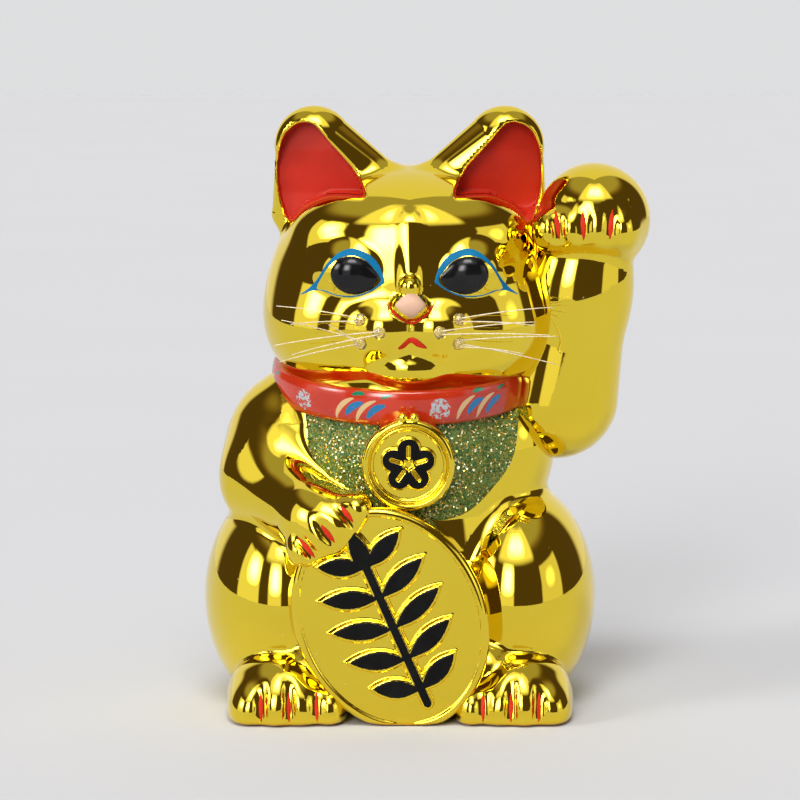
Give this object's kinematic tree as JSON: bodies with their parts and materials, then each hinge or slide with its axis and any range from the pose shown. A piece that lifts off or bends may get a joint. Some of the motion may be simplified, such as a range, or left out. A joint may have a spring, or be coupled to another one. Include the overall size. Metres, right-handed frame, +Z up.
{
  "type": "beckoning cat figurine",
  "caption": "Seated cat figurine and coin bank with raised beckoning paw, held coin plaque, collar and bib, wire-fine whiskers, hollow body and pull-out base stopper.",
  "frame": {"origin": "on the table, under the middle of the whole cat's box", "axes": "+Z up from the table to the ear tips, -Y the way the cat looks, +X towards its raised left arm"},
  "size_m": [0.1894, 0.1472, 0.255],
  "materials": {
    "gold": "mirror-bright gold metallising under clear lacquer, on glazed earthenware",
    "red_enamel": "glossy orange-red enamel with painted flowers and strokes",
    "ear_enamel": "orange-red enamel, satin",
    "glitter": "coarse green and gold glitter set in lacquer",
    "black_enamel": "high-gloss black enamel",
    "blue_enamel": "hand-painted blue enamel",
    "pink_enamel": "matt pink enamel",
    "nylon": "pale, slightly clear bristle",
    "clear_glue": "clear drop of glue, slightly yellowed",
    "stopper_rubber": "soft white PVC, matt"
  },
  "bodies": {
    "cat": {"body_casting": "gold", "raised_arm_casting": "gold", "koban_plaque": "gold", "koban_emblem": "black_enamel", "medallion": "gold", "medallion_emblem": "black_enamel", "collar_band": "red_enamel", "bib_glitter": "glitter", "nose_pad": "pink_enamel", "mouth": "ear_enamel", "ear_lining_right": "ear_enamel", "ear_lining_left": "ear_enamel", "eye_right": "black_enamel", "eye_left": "black_enamel", "eyeliner_right": "blue_enamel", "eyeliner_left": "blue_enamel", "whisker_glue_right_upper": "clear_glue", "whisker_glue_right_middle": "clear_glue", "whisker_glue_right_lower": "clear_glue", "whisker_glue_left_upper": "clear_glue", "whisker_glue_left_middle": "clear_glue", "whisker_glue_left_lower": "clear_glue", "whisker_right_upper_1": "nylon", "whisker_right_upper_2": "nylon", "whisker_right_middle_1": "nylon", "whisker_right_middle_2": "nylon", "whisker_right_lower_1": "nylon", "whisker_right_lower_2": "nylon", "whisker_right_lower_3": "nylon", "whisker_left_upper_1": "nylon", "whisker_left_upper_2": "nylon", "whisker_left_middle_1": "nylon", "whisker_left_middle_2": "nylon", "whisker_left_lower_1": "nylon", "whisker_left_lower_2": "nylon", "whisker_left_lower_3": "nylon"},
    "stopper": {"base_stopper": "stopper_rubber"}
  },
  "joints": [
    {"name": "stopper_pull", "type": "slide", "parent": "cat", "child": "stopper", "axis": [0, 0, -1], "range_m": [0, 0.03]}
  ]
}
